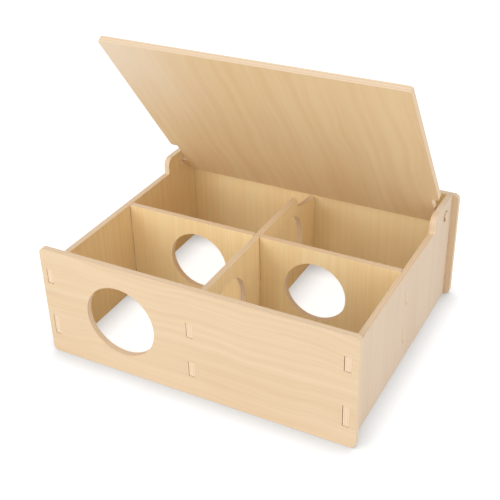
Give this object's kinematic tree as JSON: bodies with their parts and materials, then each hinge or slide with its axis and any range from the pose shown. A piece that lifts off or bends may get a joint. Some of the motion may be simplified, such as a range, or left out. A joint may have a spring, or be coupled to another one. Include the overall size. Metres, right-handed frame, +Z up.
{
  "type": "wooden hamster house",
  "caption": "Low plywood hamster house of slotted boards, with rooms joined by round passages, a round entrance and a lid that swings up on wooden tabs.",
  "frame": {"origin": "on the ground at the centre of the plan, under the crossing of the two dividers", "axes": "+X to the right seen from the entrance, +Y to the back, +Z up"},
  "size_m": [0.3, 0.25, 0.2693],
  "materials": {
    "panel_ply": "bare sanded plywood, grain across the panel",
    "side_ply": "bare sanded plywood, upright grain",
    "divider_ply": "bare sanded plywood, upright grain",
    "lid_ply": "bare sanded plywood, grain from the rear edge to the free edge"
  },
  "bodies": {
    "house": {"front_panel": "panel_ply", "back_panel": "panel_ply", "left_side": "side_ply", "right_side": "side_ply", "centre_divider": "divider_ply", "cross_divider": "divider_ply"},
    "lid": {"lid": "lid_ply"}
  },
  "joints": [
    {"name": "lid_hinge", "type": "hinge", "parent": "house", "child": "lid", "pos_m": [0, 0.1015, 0.09695], "axis": [-1, 0, 0], "range_deg": [-54, 82]}
  ]
}
